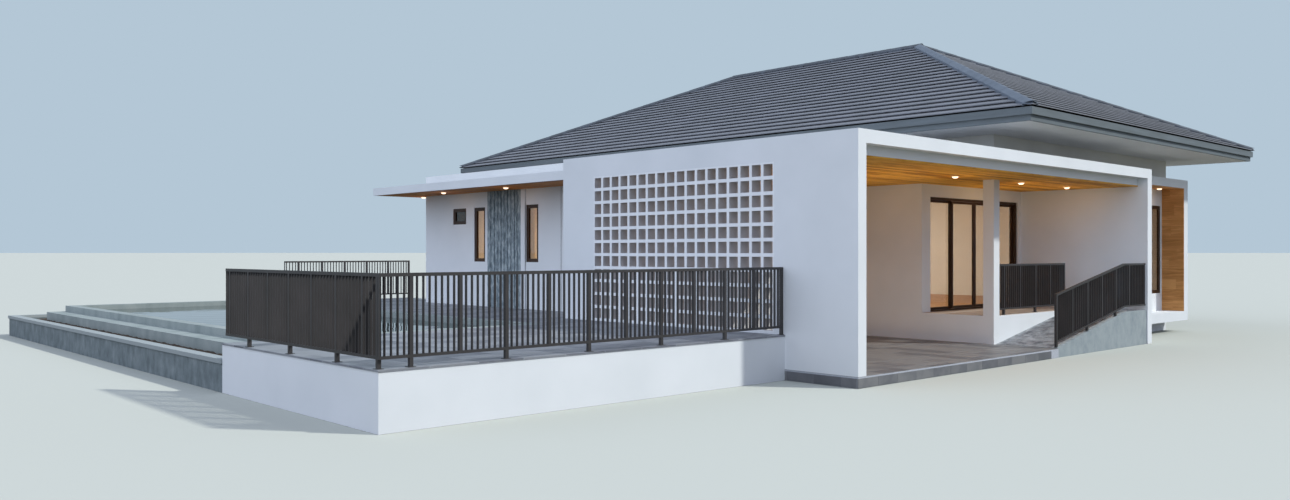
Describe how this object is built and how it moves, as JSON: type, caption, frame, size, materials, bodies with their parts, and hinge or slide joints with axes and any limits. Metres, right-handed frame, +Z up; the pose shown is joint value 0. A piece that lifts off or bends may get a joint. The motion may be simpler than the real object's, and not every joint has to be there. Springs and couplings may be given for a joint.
{
  "type": "single-storey house",
  "caption": "Single-storey house with a hipped tiled roof, white framed carport and porch, vent-block wall, ramp, sliding door, low wing and raised terrace.",
  "frame": {"origin": "front left corner of the underside of the carport slab, at the ground, below the outer near corner of the vent-block wall", "axes": "+X to the right along the street front, +Y back from the street front, +Z up"},
  "size_m": [20.935, 17.44, 6.52],
  "materials": {
    "white_render": "fine matt painted render",
    "slate_tile": "honed slate-grey porcelain tiles",
    "ceiling_boards": "satin varnished boards",
    "floor_boards": "satin boards",
    "concrete": "cast, board-marked",
    "soil": "loose and dark",
    "board_marked_stone": "matt, upright board marks",
    "frame_metal": "satin powder coat",
    "glass": "clear float glass",
    "railing_metal": "satin powder coat",
    "soffit_paint": "matt paint",
    "fascia_metal": "satin painted sheet",
    "roof_tile": "matt flat concrete tile",
    "cap_tile": "matt cap tile"
  },
  "bodies": {
    "house": {"carport_floor": "slate_tile", "vent_wall": "white_render", "vent_blocks": "white_render", "right_wing_wall": "white_render", "frame_beam": "white_render", "carport_roof": "white_render", "carport_ceiling": "ceiling_boards", "corner_column": "white_render", "entry_platform": "white_render", "entry_ramp": "concrete", "ramp_railing": "railing_metal", "porch_railing": "railing_metal", "house_floor": "floor_boards", "entry_wall_left": "white_render", "entry_wall_right": "white_render", "entry_wall_head": "white_render", "carport_side_wall": "white_render", "carport_back_wall": "white_render", "bedroom_front_wall": "white_render", "right_wall": "white_render", "rear_wall": "white_render", "left_rear_wall": "white_render", "wing_side_wall": "white_render", "wing_end_wall": "white_render", "upper_wall_front": "white_render", "upper_wall_left": "white_render", "wing_roof": "white_render", "canopy_slab": "white_render", "canopy_soffit": "ceiling_boards", "stone_cladding": "board_marked_stone", "window_frames": "frame_metal", "window_panes": "glass", "door_frame": "frame_metal", "window_surround": "white_render", "surround_boards": "ceiling_boards", "terrace_base": "white_render", "terrace_paving": "slate_tile", "front_railing": "railing_metal", "side_railing": "railing_metal", "rear_railing": "railing_metal", "planter_wall": "concrete", "planter_bed": "soil", "basin": "concrete", "eaves_soffit": "soffit_paint", "eaves_fascia": "fascia_metal", "roof_slope_left": "roof_tile", "roof_slope_right": "roof_tile", "roof_slope_front": "roof_tile", "roof_slope_rear": "roof_tile", "ridge_and_hip_caps": "cap_tile"},
    "left_leaf": {"left_leaf": "frame_metal", "left_leaf_glass": "glass"},
    "right_leaf": {"right_leaf": "frame_metal", "right_leaf_glass": "glass"}
  },
  "joints": [
    {"name": "left_leaf_slide", "type": "slide", "parent": "house", "child": "left_leaf", "axis": [-1, 0, 0], "range_m": [0, 0.78]},
    {"name": "right_leaf_slide", "type": "slide", "parent": "house", "child": "right_leaf", "axis": [1, 0, 0], "range_m": [0, 0.78]}
  ]
}
